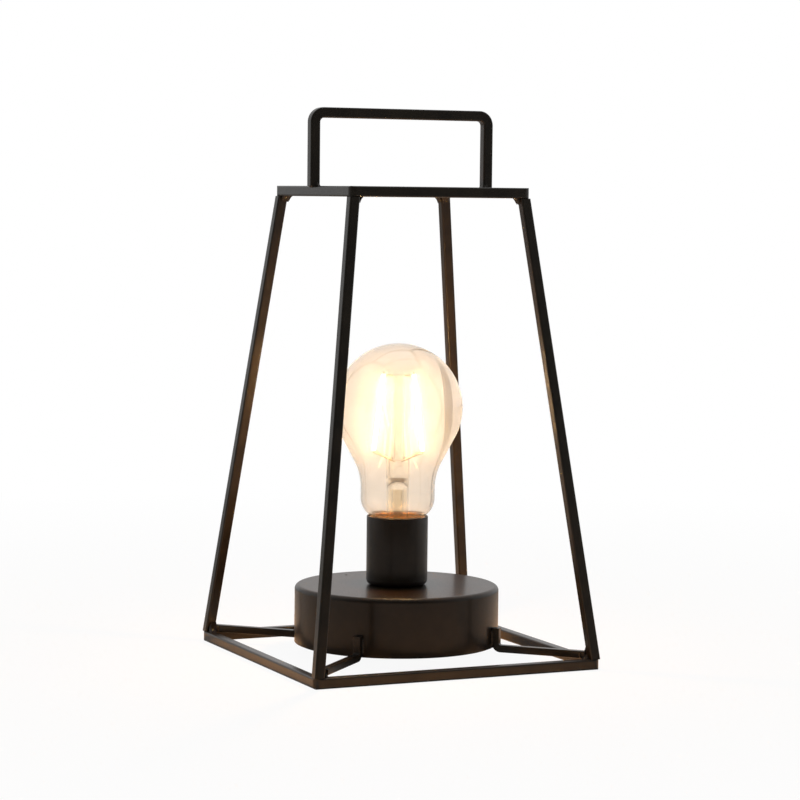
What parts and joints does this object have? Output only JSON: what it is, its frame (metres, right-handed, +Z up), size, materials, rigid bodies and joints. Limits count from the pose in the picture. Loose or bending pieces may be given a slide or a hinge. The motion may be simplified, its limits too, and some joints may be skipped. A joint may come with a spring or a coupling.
{
  "type": "table lamp",
  "caption": "Lantern table lamp: a tapering open cage of square bar with a carry handle, round a filament bulb on a low drum.",
  "frame": {"origin": "centre of the square that the lamp stands on", "axes": "+Z up, +X along the front of the lamp towards its right, +Y to its back"},
  "size_m": [0.142, 0.142, 0.256],
  "materials": {
    "cage_paint": "dark bronze satin paint over welded steel bar",
    "drum_paint": "dark bronze satin paint over drawn steel",
    "zinc_steel": "zinc plated",
    "ceramic": "glazed ceramic, off-white",
    "brass": "rolled thin brass",
    "clear_glass": "clear blown glass",
    "led_silicone": "phosphor-filled silicone",
    "wire_metal": "drawn wire",
    "black_glass": "opaque black glass",
    "solder": "solder, dull",
    "black_abs": "moulded, fine texture",
    "cell_sleeve": "plain shrink sleeve",
    "nickel_spring": "nickel-plated spring strip",
    "board_laminate": "glass-fibre laminate with lacquer",
    "red_sheath": "soft sheath",
    "black_sheath": "soft sheath"
  },
  "bodies": {
    "frame": {"base_rail_front": "cage_paint", "base_rail_right": "cage_paint", "base_rail_back": "cage_paint", "base_rail_left": "cage_paint", "top_rail_front": "cage_paint", "top_rail_right": "cage_paint", "top_rail_back": "cage_paint", "top_rail_left": "cage_paint", "leg_front_left": "cage_paint", "leg_front_right": "cage_paint", "leg_back_left": "cage_paint", "leg_back_right": "cage_paint", "strut_front_left": "cage_paint", "strut_front_right": "cage_paint", "strut_back_left": "cage_paint", "strut_back_right": "cage_paint", "carry_handle": "cage_paint", "drum_shell": "drum_paint", "socket_cup": "drum_paint", "nipple": "zinc_steel", "nipple_nut": "zinc_steel", "nipple_washer": "zinc_steel", "mounting_lugs": "zinc_steel", "tray_screws": "zinc_steel", "lampholder_base": "ceramic", "lampholder_shell": "brass", "centre_contact": "brass", "battery_tray": "black_abs", "slide_switch_body": "black_abs", "cell_left": "cell_sleeve", "cell_middle": "cell_sleeve", "cell_right": "cell_sleeve", "positive_contacts": "nickel_spring", "negative_contacts": "nickel_spring", "timer_board": "board_laminate", "red_lead": "red_sheath", "black_lead": "black_sheath"},
    "battery_door": {"battery_door": "black_abs"},
    "switch_knob": {"switch_knob": "black_abs"},
    "bulb_tip": {"cap_tip": "solder"},
    "bulb": {"bulb_glass": "clear_glass", "bulb_stem": "clear_glass", "led_filaments": "led_silicone", "support_wires": "wire_metal", "bulb_cap": "brass", "cap_insulator": "black_glass"}
  },
  "joints": [
    {"name": "door_slide", "type": "slide", "parent": "frame", "child": "battery_door", "axis": [0, 1, 0], "range_m": [0, 0.009]},
    {"name": "switch_slide", "type": "slide", "parent": "frame", "child": "switch_knob", "axis": [0, 1, 0], "range_m": [-0.002, 0.002]},
    {"name": "bulb_lift", "type": "slide", "parent": "frame", "child": "bulb_tip", "axis": [0, 0, 1], "range_m": [0, 0.0182]},
    {"name": "bulb_turn", "type": "hinge", "parent": "bulb_tip", "child": "bulb", "pos_m": [0, 0, 0.042], "axis": [0, 0, 1], "range_deg": [0, 1800]}
  ],
  "couplings": [
    {"joint": "bulb_lift", "follows": "bulb_turn", "m_per_rad": 0.00057773}
  ]
}
